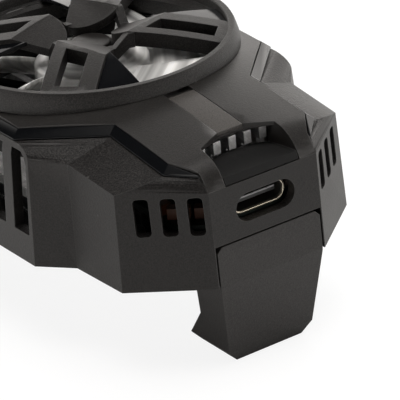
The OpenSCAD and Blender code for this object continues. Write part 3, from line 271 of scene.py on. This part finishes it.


# Moulded plastic: blasted grain, slightly paler edges that are partly wear and partly a painted edge
# highlight, and a little dust. Where the mould's walls are smoother, the grain fades on faces that don't look up.
def moulded(name, colour, rough, grain=1.0, depth=2e-5, edge_wear_and_highlight_share=0.35, dust=0.25, specular=0.5, speckle=0.9,
            dark_pan=False, smooth_walls=False):
    material, t, shader = start_material(name)
    if smooth_walls:
        facing = t.split(t.add("ShaderNodeTexCoord").outputs["Normal"])[2]
        upward = t.remap(facing, 0.35, 0.75, 0.3, 1.0)
        speckle = t.math("MULTIPLY", upward, speckle)
    skin = place_group(t, BLASTED, Grain=grain, Patch=0.15, Speckle=speckle)
    height = t.math("MULTIPLY", skin.outputs["Height"], upward) if smooth_walls else skin.outputs["Height"]
    soft = place_group(t, SOFT_EDGE, Radius=0.16 * MM)
    dusty = place_group(t, DUST, Amount=dust)
    # Paler edges: partly wear, partly a painted edge highlight.
    edge_wear_and_highlight = (*[min(1, c * 2.2 + 0.06) for c in colour], 1)
    dust_grey, pan_black = (0.42, 0.41, 0.40, 1), (0.004, 0.004, 0.004, 1)
    with_highlit_worn_edges = t.mix(t.math("MULTIPLY", soft.outputs["Edge"], edge_wear_and_highlight_share), t.scaled(colour, skin.outputs["Tone"]), edge_wear_and_highlight)
    shown = t.mix(dusty.outputs["Dust"], with_highlit_worn_edges, dust_grey)
    roughness = t.math("ADD", rough, skin.outputs["Rough"])
    if dark_pan:
        pan = scoop_pan_mask(t)
        shown = t.mix(pan, shown, pan_black)
        roughness = t.math("ADD", roughness, t.math("MULTIPLY", pan, 0.5))
    t.feed(shader.inputs["Base Color"], shown)
    t.feed(shader.inputs["Roughness"], roughness)
    shader.inputs["Specular IOR Level"].default_value = specular
    finish_normal(t, shader, height, depth, soft)
    return material


# The bottoms of the two air scoops, painted near black and made rougher: a soft-edged box at each end.
def scoop_pan_mask(t):
    x, y, z = t.split(t.place())
    across = t.remap(t.math("ABSOLUTE", x), 6.25 * MM, 6.05 * MM)
    along = t.remap(t.math("ABSOLUTE", y), 34.4 * MM, 34.7 * MM)
    low = t.remap(z, 16.6 * MM, 16.3 * MM)
    return t.math("MULTIPLY", t.math("MULTIPLY", across, along), low)


# Polished plastic: almost no grain, a slow ripple and specks of dust.
def polished(name, colour, rough, dust, specular=0.5):
    material, t, shader = start_material(name)
    soft = place_group(t, SOFT_EDGE, Radius=0.1 * MM)
    dusty = place_group(t, DUST, Amount=dust)
    place = t.place()
    smear = t.noise(place, 160, 4.0, 0.6)
    dust_grey = (0.3, 0.3, 0.3, 1)
    t.feed(shader.inputs["Base Color"], t.mix(dusty.outputs["Dust"], (*colour, 1), dust_grey))
    t.feed(shader.inputs["Roughness"], t.remap(smear, 0.3, 0.75, rough * 0.75, rough * 1.5))
    shader.inputs["Specular IOR Level"].default_value = specular
    finish_normal(t, shader, t.noise(place, 700, 2.0), 2e-6, soft)
    return material


# Bare metal with drawn or milled lines.
def metal(name, colour, rough, along=(1.0, 0.03, 1.0), metallic=1.0):
    material, t, shader = start_material(name)
    lines = place_group(t, DRAWN, Along=along)
    soft = place_group(t, SOFT_EDGE, Radius=0.08 * MM)
    t.feed(shader.inputs["Base Color"], t.scaled(colour, lines.outputs["Tone"]))
    shader.inputs["Metallic"].default_value = metallic
    t.feed(shader.inputs["Roughness"],
           t.math("ADD", rough - 0.05, t.math("MULTIPLY", lines.outputs["Height"], 0.1)))
    finish_normal(t, shader, lines.outputs["Height"], 2e-6, soft)
    return material


# The rotor: a dark satin button in its middle, then pale satin with faint rings around the axis, like a part
# polished on a lathe, and broad soft arcs of painted highlight in its colour.
def lathe_satin(name, colour, hub_colour, hub_radius, rough, metallic):
    material, t, shader = start_material(name)
    soft = place_group(t, SOFT_EDGE, Radius=0.1 * MM)
    dusty = place_group(t, DUST, Amount=0.2)
    skin = place_group(t, BLASTED, Grain=1.2, Patch=0.2, Speckle=0.6)
    place = t.place()
    x, y, _ = t.split(place)
    radius = t.math("SQRT", t.math("ADD", t.math("MULTIPLY", x, x), t.math("MULTIPLY", y, y)))
    hub = t.remap(radius, hub_radius + 0.6 * MM, hub_radius)
    outward = t.add("ShaderNodeCombineXYZ")
    t.feed(outward.inputs[0], radius)
    rings = t.noise(outward.outputs[0], 1500, 3.0, 0.6)
    # Broad soft arcs of tone around the axis: a painted highlight of concentric streaks.
    highlight_arcs = t.noise(outward.outputs[0], 420, 2.0, 0.5)
    cloud = t.noise(place, 130, 3.0, 0.5)
    sweep = t.remap(highlight_arcs, 0.32, 0.68, 0.35, 1.25, smooth=True)
    fine = t.math("ADD", t.math("MULTIPLY", rings, 0.4), t.math("MULTIPLY", cloud, 0.3))
    tone = t.math("MULTIPLY", sweep, t.math("ADD", 0.75, fine))
    shown = t.mix(hub, t.scaled(colour, tone), t.scaled(hub_colour, skin.outputs["Tone"]))
    dust_grey = (0.5, 0.5, 0.5, 1)
    t.feed(shader.inputs["Base Color"], t.mix(dusty.outputs["Dust"], shown, dust_grey))
    satin = t.remap(rings, 0.2, 0.8, rough * 0.8, rough * 1.25)
    t.feed(shader.inputs["Roughness"], t.math("ADD", satin, t.math("MULTIPLY", hub, 0.08)))
    t.feed(shader.inputs["Metallic"], t.math("MULTIPLY", t.math("SUBTRACT", 1.0, hub), metallic))
    finish_normal(t, shader, rings, 1.2e-5, soft)
    return material


# Milled fin ends: silver, with scratches at a slant and darker stains.
def milled(name, colour, rough):
    material, t, shader = start_material(name)
    soft = place_group(t, SOFT_EDGE, Radius=0.1 * MM)
    place = t.place()
    x, y, z = t.split(place)
    slant = t.add("ShaderNodeCombineXYZ")
    t.feed(slant.inputs[0], t.math("ADD", x, t.math("MULTIPLY", z, 0.9)))
    t.feed(slant.inputs[1], t.math("MULTIPLY", t.math("SUBTRACT", z, x), 0.04))
    t.feed(slant.inputs[2], t.math("MULTIPLY", y, 0.05))
    lines = t.noise(slant.outputs[0], 3800, 3.0, 0.7)
    stains = t.remap(t.noise(place, 700, 3.0, 0.6), 0.35, 0.65)
    tone = t.math("ADD", 0.45, t.math("ADD", t.math("MULTIPLY", lines, 0.5), t.math("MULTIPLY", stains, 0.3)))
    t.feed(shader.inputs["Base Color"], t.scaled(colour, tone))
    shader.inputs["Metallic"].default_value = 1.0
    t.feed(shader.inputs["Roughness"], t.remap(lines, 0.2, 0.8, rough * 0.8, rough * 1.3))
    finish_normal(t, shader, lines, 1.2e-5, soft)
    return material


# Plated shell of the port: bright at its front rim; inside, painted shade makes it dark and dull.
def plated_rim(name, colour, front, rough):
    material, t, shader = start_material(name)
    soft = place_group(t, SOFT_EDGE, Radius=0.1 * MM)
    lines = place_group(t, DRAWN, Along=(1, 0.1, 1))
    y = t.split(t.place())[1]
    # Inside the shell, painted shade: the metal turns dark, dull and rougher.
    shaded_inside = t.remap(y, front + 0.15 * MM, front + 0.5 * MM)
    painted_inside_shade = (0.0291, 0.02716, 0.02425, 1)
    t.feed(shader.inputs["Base Color"], t.mix(shaded_inside, (*colour, 1), painted_inside_shade))
    t.feed(shader.inputs["Metallic"], t.math("SUBTRACT", 1.0, t.math("MULTIPLY", shaded_inside, 0.8)))
    t.feed(shader.inputs["Roughness"], t.math("ADD", rough, t.math("MULTIPLY", shaded_inside, 0.3)))
    finish_normal(t, shader, lines.outputs["Height"], 1.5e-6, soft)
    return material


# The port's tongue: black, with plated contacts at a pitch of half a millimetre and a painted highlight along
# its top front edge.
def contact_tongue(name, front, middle):
    material, t, shader = start_material(name)
    soft = place_group(t, SOFT_EDGE, Radius=0.06 * MM)
    place = t.place()
    x, y, z = t.split(place)
    pitch = 0.5 * MM
    stripe = t.math("ABSOLUTE", t.math("SUBTRACT", t.math("FRACT", t.math("DIVIDE", x, pitch)), 0.5))
    contact = t.math("MULTIPLY", t.remap(stripe, 0.24, 0.22), t.remap(y, front + 0.7 * MM, front + 0.8 * MM))
    # A painted highlight along the top front edge, broken up by noise.
    near = t.math("MULTIPLY", t.remap(y, front + 0.2 * MM, front + 0.1 * MM),
                  t.remap(z, middle + 0.08 * MM, middle + 0.13 * MM))
    grime = t.noise(place, 1800, 3.0)
    black, plating, highlight_grey = (0.012, 0.012, 0.012, 1), (0.55, 0.38, 0.16, 1), (0.30, 0.30, 0.31, 1)
    edge_wear_and_highlight = t.math("MULTIPLY", near, t.remap(grime, 0.2, 0.6, 0.5, 1.0))
    t.feed(shader.inputs["Base Color"], t.mix(edge_wear_and_highlight, t.mix(contact, black, plating), highlight_grey))
    t.feed(shader.inputs["Metallic"], t.math("MULTIPLY", contact, 0.9))
    t.feed(shader.inputs["Roughness"], t.remap(grime, 0.3, 0.7, 0.3, 0.5))
    finish_normal(t, shader, grime, 2e-6, soft)
    return material


port_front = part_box("usb_shell")[0][1]
tongue_low, tongue_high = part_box("usb_tongue")
MATERIALS = {
    "housing_black": moulded("housing_black", (0.0105, 0.0095, 0.0091), 0.42, depth=5.5e-5, edge_wear_and_highlight_share=0.7,
                             specular=0.31, speckle=11.0, smooth_walls=True),
    "claw_black": moulded("claw_black", (0.0160, 0.0145, 0.0140), 0.46, depth=1.5e-5, specular=0.40, speckle=3.0),
    "cover_black": moulded("cover_black", (0.0150, 0.0137, 0.0128), 0.38, grain=1.25, depth=2.2e-5, edge_wear_and_highlight_share=0.7,
                           speckle=5.0, dark_pan=True, smooth_walls=True),
    "guard_black": moulded("guard_black", (0.0130, 0.0119, 0.0112), 0.45, grain=1.2, depth=3e-5, edge_wear_and_highlight_share=0.6,
                           specular=0.35, speckle=6.0),
    "gloss_black": polished("gloss_black", (0.003, 0.0034, 0.0042), 0.14, dust=0.3, specular=0.2),
    "inlay_black": moulded("inlay_black", (0.060, 0.055, 0.051), 0.25, grain=1.2, depth=4e-6, dust=0.15,
                           specular=0.62, speckle=1.5),
    "fan_plastic": lathe_satin("fan_plastic", (0.90, 0.89, 0.87), hub_colour=(0.016, 0.0145, 0.0135),
                               hub_radius=4.5 * MM, rough=0.32, metallic=0.25),
    "frame_plastic": moulded("frame_plastic", (0.010, 0.010, 0.010), 0.55, specular=0.3),
    "steel": metal("steel", (0.56, 0.57, 0.58), 0.28),
    "black_steel": metal("black_steel", (0.035, 0.035, 0.037), 0.38, metallic=0.8),
    "magnet": moulded("magnet", (0.10, 0.085, 0.075), 0.7, dust=0.0),
    "bronze": metal("bronze", (0.52, 0.36, 0.18), 0.42, along=(1, 1, 0.05)),
    "copper": metal("copper", (0.62, 0.27, 0.11), 0.3, along=(0.05, 0.05, 1)),
    # The board's green is darkened almost to black: painted shade for the inside of the housing.
    "board_green": polished("board_green", (0.002, 0.006, 0.004), 0.5, dust=0.15, specular=0.3),
    "chip_black": moulded("chip_black", (0.016, 0.016, 0.017), 0.42, grain=2.0, depth=2e-6),
    # The capacitors' orange is darkened to brown: painted shade for the inside of the housing.
    "tantalum_orange": polished("tantalum_orange", (0.09, 0.028, 0.009), 0.45, dust=0.3),
    "choke_brown": moulded("choke_brown", (0.05, 0.03, 0.02), 0.6, grain=2.0),
    "sink_aluminium": milled("sink_aluminium", (0.92, 0.92, 0.92), 0.42),
    "plate_aluminium": metal("plate_aluminium", (0.76, 0.77, 0.78), 0.26, along=(0.03, 1, 1)),
    "ceramic": moulded("ceramic", (0.78, 0.76, 0.71), 0.55, dust=0.0, edge_wear_and_highlight_share=0.0),
    "module_alloy": metal("module_alloy", (0.30, 0.31, 0.33), 0.5),
    "foam": moulded("foam", (0.035, 0.035, 0.038), 0.9, grain=0.35, depth=6e-5, specular=0.2),
    "pad_silicone": moulded("pad_silicone", (0.28, 0.31, 0.35), 0.62, grain=0.6, depth=8e-6, dust=0.6),
    "port_metal": plated_rim("port_metal", (0.873, 0.7954, 0.6402), port_front, rough=0.22),
    "lead_red": polished("lead_red", (0.30, 0.015, 0.012), 0.42, dust=0.1),
    "lead_black": polished("lead_black", (0.012, 0.012, 0.012), 0.42, dust=0.1),
    "grip_rubber": moulded("grip_rubber", (0.018, 0.018, 0.019), 0.72, grain=0.8, depth=1e-5, specular=0.3),
    "guide_plastic": moulded("guide_plastic", (0.05, 0.05, 0.053), 0.5),
}
TONGUE = contact_tongue("contact_tongue", tongue_low[1], (tongue_low[2] + tongue_high[2]) / 2)


def dress(piece, material):
    piece.data.materials.clear()
    piece.data.materials.append(material)


for name, piece in nodes.items():
    dress(piece, TONGUE if name == "usb_tongue" else MATERIALS[slot_of_node[name]])


# A dressed piece of the same body, with its mesh's name, takes the place of its CAD node.
def stand_for(mesh, node):
    piece = bpy.data.objects.new(mesh.name, mesh)
    bpy.context.scene.collection.objects.link(piece)
    dress(piece, MATERIALS[slot_of_node[node]])
    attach(piece, body_of_node[node])
    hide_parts(node)
    return piece


# A moulding with real rounded edges: the CAD node's own mesh, merged, with its flat areas joined, and a
# small bevel, in millimetres, on every corner sharper than the given angle in degrees.
def rounded_moulding(node, width, angle, creases=()):
    mesh = nodes[node].data.copy()
    work = bmesh.new()
    work.from_mesh(mesh)
    bmesh.ops.remove_doubles(work, verts=work.verts, dist=2e-6)
    bmesh.ops.dissolve_limit(work, angle_limit=math.radians(0.3), verts=work.verts, edges=work.edges)
    work.to_mesh(mesh)
    work.free()
    mesh.name = node + "_skin"
    mesh.shade_smooth()
    mesh.set_sharp_from_angle(angle=math.radians(angle))
    sharpen_creases(mesh, creases)
    corners = stand_for(mesh, node).modifiers.new("corners", "BEVEL")
    corners.width = width * MM
    corners.segments = 2
    corners.limit_method = "ANGLE"
    corners.angle_limit = math.radians(angle)
    corners.harden_normals = True


# The creases of the housing's top, as columns of seven points each in millimetres, from the wall's top
# (t = 0) to 0.3 mm under the cover's edge (t = 1). The shoulder's is a quarter of an ellipse, the ridge's
# bulges by half a millimetre at its middle, and the facet's and the port's are straight. Each is mirrored
# into the four corners.
def crease_columns():
    t = np.linspace(0, 1, 7)[:, None]
    swing = np.hstack([np.sin(t * np.pi / 2), 1 - np.cos(t * np.pi / 2), np.sin(t * np.pi / 2)])
    bulge = np.sin(t * np.pi) * np.array([(0.15, 0.5, 0.15)])
    sink = t * np.array([(0, 0, -0.3)])

    def run(start, stop, share):
        return np.array([start]) * (1 - share) + np.array([stop]) * share + sink

    columns = np.stack([run((22.709, 17.659, 16.0), (22.2, 13.623, 18.108), swing),
                        run((19.155, 22.355, 16.1), (12.8, 23.923, 18.921), t),
                        run((18.845, 33.095, 14.95), (12.8, 36.384, 17.182), t) + bulge,
                        run((9.05, 41.501, 14.8), (9.45, 39.9, 16.959), t)])
    corners = np.array([(sx, sy, 1) for sx in (-1, 1) for sy in (-1, 1)])
    return (columns[None] * corners[:, None, None]).reshape(-1, 7, 3) * MM


# Edges whose two ends lie on one column stay sharp.
def sharpen_creases(mesh, columns):
    reach = 0.04 * MM
    points = np.empty(len(mesh.vertices) * 3)
    mesh.vertices.foreach_get("co", points)
    points = points.reshape(-1, 3)
    ends = np.empty(len(mesh.edges) * 2, int)
    mesh.edges.foreach_get("vertices", ends)
    ends = ends.reshape(-1, 2)
    sharp = np.array([edge.use_edge_sharp for edge in mesh.edges])
    for column in columns:
        near = np.linalg.norm(points[:, None] - column[None], axis=2).min(1) < reach
        sharp |= near[ends].all(1)
    mesh.edges.foreach_set("use_edge_sharp", sharp)


# A grid of points, in millimetres, as a mesh that is closed around its second direction, with flat ends
# where caps is set.
def ringed_mesh(name, grid, caps=False):
    rows, cols = grid.shape[:2]
    index = np.arange(rows * cols).reshape(rows, cols)
    a, b = index[:-1], index[1:]
    faces = np.stack([a, np.roll(a, -1, 1), np.roll(b, -1, 1), b], -1).reshape(-1, 4).tolist()
    if caps:
        faces += [index[0, ::-1].tolist(), index[-1].tolist()]
    mesh = bpy.data.meshes.new(name)
    mesh.from_pydata((grid.reshape(-1, 3) * MM).tolist(), [], faces)
    return mesh


# A profile of (radius, height), in millimetres, turned around the axis in 144 steps.
def turned_mesh(name, profile):
    radius, height = np.array(profile).T[:, :, None]
    around = np.linspace(0, 2 * np.pi, 144, endpoint=False)
    x, y = radius * np.cos(around), radius * np.sin(around)
    return ringed_mesh(name, np.stack([x, y, np.broadcast_to(height, x.shape)], -1))


# Meshes as one, with their poles closed and every face outwards.
def join_meshes(name, meshes):
    work = bmesh.new()
    for mesh in meshes:
        work.from_mesh(mesh)
    bmesh.ops.remove_doubles(work, verts=work.verts, dist=1e-6)
    bmesh.ops.recalc_face_normals(work, faces=work.faces)
    whole = bpy.data.meshes.new(name)
    work.to_mesh(whole)
    work.free()
    for mesh in meshes:
        bpy.data.meshes.remove(mesh)
    return whole


# The rotor. A blade is a sheet over radius r and chord c in -0.5..0.5. Its pitch p falls from 40 degrees at
# the root to 27 at the tip, and its height h rises from 5.2 to 6.57 mm. Its point stands at the angle
# h c / (r tan p), and 16 s degrees of sweep, where s is the share of the span, and at the height
# foot + h (c + 0.5). The sheet is thickest at c = 0 and thin at both edges. The hub is a turned profile, from
# the top of its button, around its rim, to the roof of the cup inside it.
def bladed_rotor():
    spans, chords, blades = 28, 30, 7
    root, tip, foot, sweep, phase = 8.0, 18.2, 13.85, 16, 12
    root_pitch, tip_pitch, root_height, tip_height = 40, 27, 5.2, 6.57
    half_thickness, bluntness = 0.45, 0.35
    s = np.linspace(0, 1, spans)[:, None]
    turn = np.linspace(0, 2 * np.pi, 2 * chords, endpoint=False)[None, :]
    c = 0.5 * np.cos(turn)
    side = np.sin(turn)
    r = root + (tip - root) * s
    pitch = np.radians(root_pitch + (tip_pitch - root_pitch) * s)
    h = root_height + (tip_height - root_height) * np.sin(np.pi / 2 * s)
    arc = h / np.tan(pitch) / r
    thick = half_thickness * np.abs(side) ** bluntness * np.sign(side) / np.cos(pitch)
    meshes = []
    for k in range(blades):
        a = arc * c + np.radians(sweep * s + phase + 360 / blades * k)
        z = foot + h * (c + 0.5) + thick
        meshes.append(ringed_mesh("blade", np.stack([r * np.cos(a), r * np.sin(a), z], -1), caps=True))
    meshes.append(turned_mesh("hub", [
        (0, 21.9), (0.75, 21.9), (2.7, 21.9), (2.9, 21.88), (3.02, 21.78), (3.1, 21.2), (3.22, 21.04), (3.4, 20.96),
        (4.45, 20.68), (7.3, 19.72), (7.9, 19.5), (8.33, 19.15), (8.4, 19.0), (8.4, 13.4), (8.32, 13.3),
        (7.66, 13.3), (7.6, 13.36), (7.6, 18.45), (0.8, 18.5), (0, 18.5)]))
    mesh = join_meshes("rotor_skin", meshes)
    mesh.shade_smooth()
    mesh.set_sharp_from_angle(angle=math.radians(38))
    stand_for(mesh, "fan_impeller")


rounded_moulding("lower_housing", width=0.12, angle=24, creases=crease_columns())
rounded_moulding("upper_cover", width=0.10, angle=24)
rounded_moulding("fan_guard", width=0.16, angle=30)
for side in ("left", "right"):
    rounded_moulding(side + "_trim_band", width=0.10, angle=10)
for end in ("front", "rear"):
    rounded_moulding(end + "_claw", width=0.28, angle=24)
    rounded_moulding(end + "_inlay_strip", width=0.05, angle=24)
rounded_moulding("guard_plates", width=0.05, angle=24)
rounded_moulding("usb_shell", width=0.08, angle=40)
bladed_rotor()


# The floor: pale, with the object's shadow on it, white to the camera where it is lit, and clear from below.
def make_floor(level):
    mesh = bpy.data.meshes.new("floor")
    reach = 3.0
    mesh.from_pydata([(-reach, -reach, level), (reach, -reach, level), (reach, reach, level),
                      (-reach, reach, level)], [], [(0, 1, 2, 3)])
    floor = bpy.data.objects.new("floor", mesh)
    bpy.context.scene.collection.objects.link(floor)
    material = bpy.data.materials.new("floor_white")
    material.use_nodes = True
    material.node_tree.nodes.clear()
    t = Tree(material.node_tree)
    diffuse = t.add("ShaderNodeBsdfDiffuse")
    lift = t.add("ShaderNodeEmission")
    path = t.add("ShaderNodeLightPath")
    to_camera = path.outputs["Is Camera Ray"]
    mirrored = t.math("MAXIMUM", path.outputs["Is Glossy Ray"], path.outputs["Is Transmission Ray"])
    pale, shadow_grey = (0.80, 0.795, 0.785, 1), (0.16, 0.16, 0.16, 1)
    camera_glow, mirror_glow = 0.87, 0.04
    t.feed(diffuse.inputs["Color"], t.mix(to_camera, pale, shadow_grey))
    t.feed(lift.inputs["Strength"],
           t.math("MAXIMUM", t.math("MULTIPLY", to_camera, camera_glow), t.math("MULTIPLY", mirrored, mirror_glow)))
    both = t.add("ShaderNodeAddShader")
    clear = t.add("ShaderNodeBsdfTransparent")
    side = t.add("ShaderNodeMixShader")
    out = t.add("ShaderNodeOutputMaterial")
    t.links.new(diffuse.outputs[0], both.inputs[0])
    t.links.new(lift.outputs[0], both.inputs[1])
    t.feed(side.inputs[0], t.add("ShaderNodeNewGeometry").outputs["Backfacing"])
    t.links.new(both.outputs[0], side.inputs[1])
    t.links.new(clear.outputs[0], side.inputs[2])
    t.links.new(side.outputs[0], out.inputs["Surface"])
    mesh.materials.append(material)


# The studio: a bright band low down all round, higher behind the object and dim in front of it, and above it
# dark, with a patch of light straight overhead. To the camera, all is white.
def make_world():
    away, front, brightness = (0.6, 0.8, 0), (-0.50, -0.82, 0.28), 1.9
    warm, white = (1.0, 0.965, 0.93, 1), (1, 1, 1, 1)
    world = bpy.data.worlds.new("studio")
    bpy.context.scene.world = world
    world.use_nodes = True
    world.node_tree.nodes.clear()
    t = Tree(world.node_tree)
    direction = t.add("ShaderNodeTexCoord").outputs["Generated"]
    z = t.split(direction)[2]
    behind = t.remap(t.dot(direction, away), -0.3, 0.5, smooth=True)
    foot = t.math("ADD", 0.10, t.math("MULTIPLY", behind, 0.25))
    head = t.math("ADD", 0.45, t.math("MULTIPLY", behind, 0.17))
    band = t.remap(z, foot, head, 1.0, 0.03, smooth=True)
    dimmed = t.remap(t.dot(direction, front), 0.84, 0.96, 1.0, 0.25, smooth=True)
    overhead = t.remap(z, 0.88, 0.97, 0.0, 1.3, smooth=True)
    studio = t.math("MULTIPLY", t.math("ADD", t.math("MULTIPLY", band, dimmed), overhead), brightness)
    path = t.add("ShaderNodeLightPath")
    level = t.math("MAXIMUM", studio, path.outputs["Is Camera Ray"])
    background = t.add("ShaderNodeBackground")
    t.feed(background.inputs["Color"], t.mix(path.outputs["Is Camera Ray"], warm, white))
    t.feed(background.inputs["Strength"], level)
    out = t.add("ShaderNodeOutputWorld")
    t.links.new(background.outputs[0], out.inputs["Surface"])


# A rectangular lamp that looks at the middle of the object and doesn't show in its gloss.
def softbox(name, where, size, power):
    lamp = bpy.data.lights.new(name, "AREA")
    lamp.shape = "RECTANGLE"
    lamp.size, lamp.size_y = size
    lamp.energy = power
    middle = Vector((0, 0, 0.01))
    thing = bpy.data.objects.new(name, lamp)
    thing.location = where
    thing.rotation_mode = "QUATERNION"
    thing.rotation_quaternion = (middle - Vector(where)).to_track_quat("-Z", "Y")
    thing.visible_glossy = False
    bpy.context.scene.collection.objects.link(thing)


floor_gap = 0.05 * MM
make_floor(cad_low.z - floor_gap)
make_world()
softbox("key_softbox", (0.50, 0.62, 0.42), size=(0.6, 0.35), power=4.0)
softbox("overhead_softbox", (0.05, 0.05, 0.9), size=(0.8, 0.8), power=4.5)
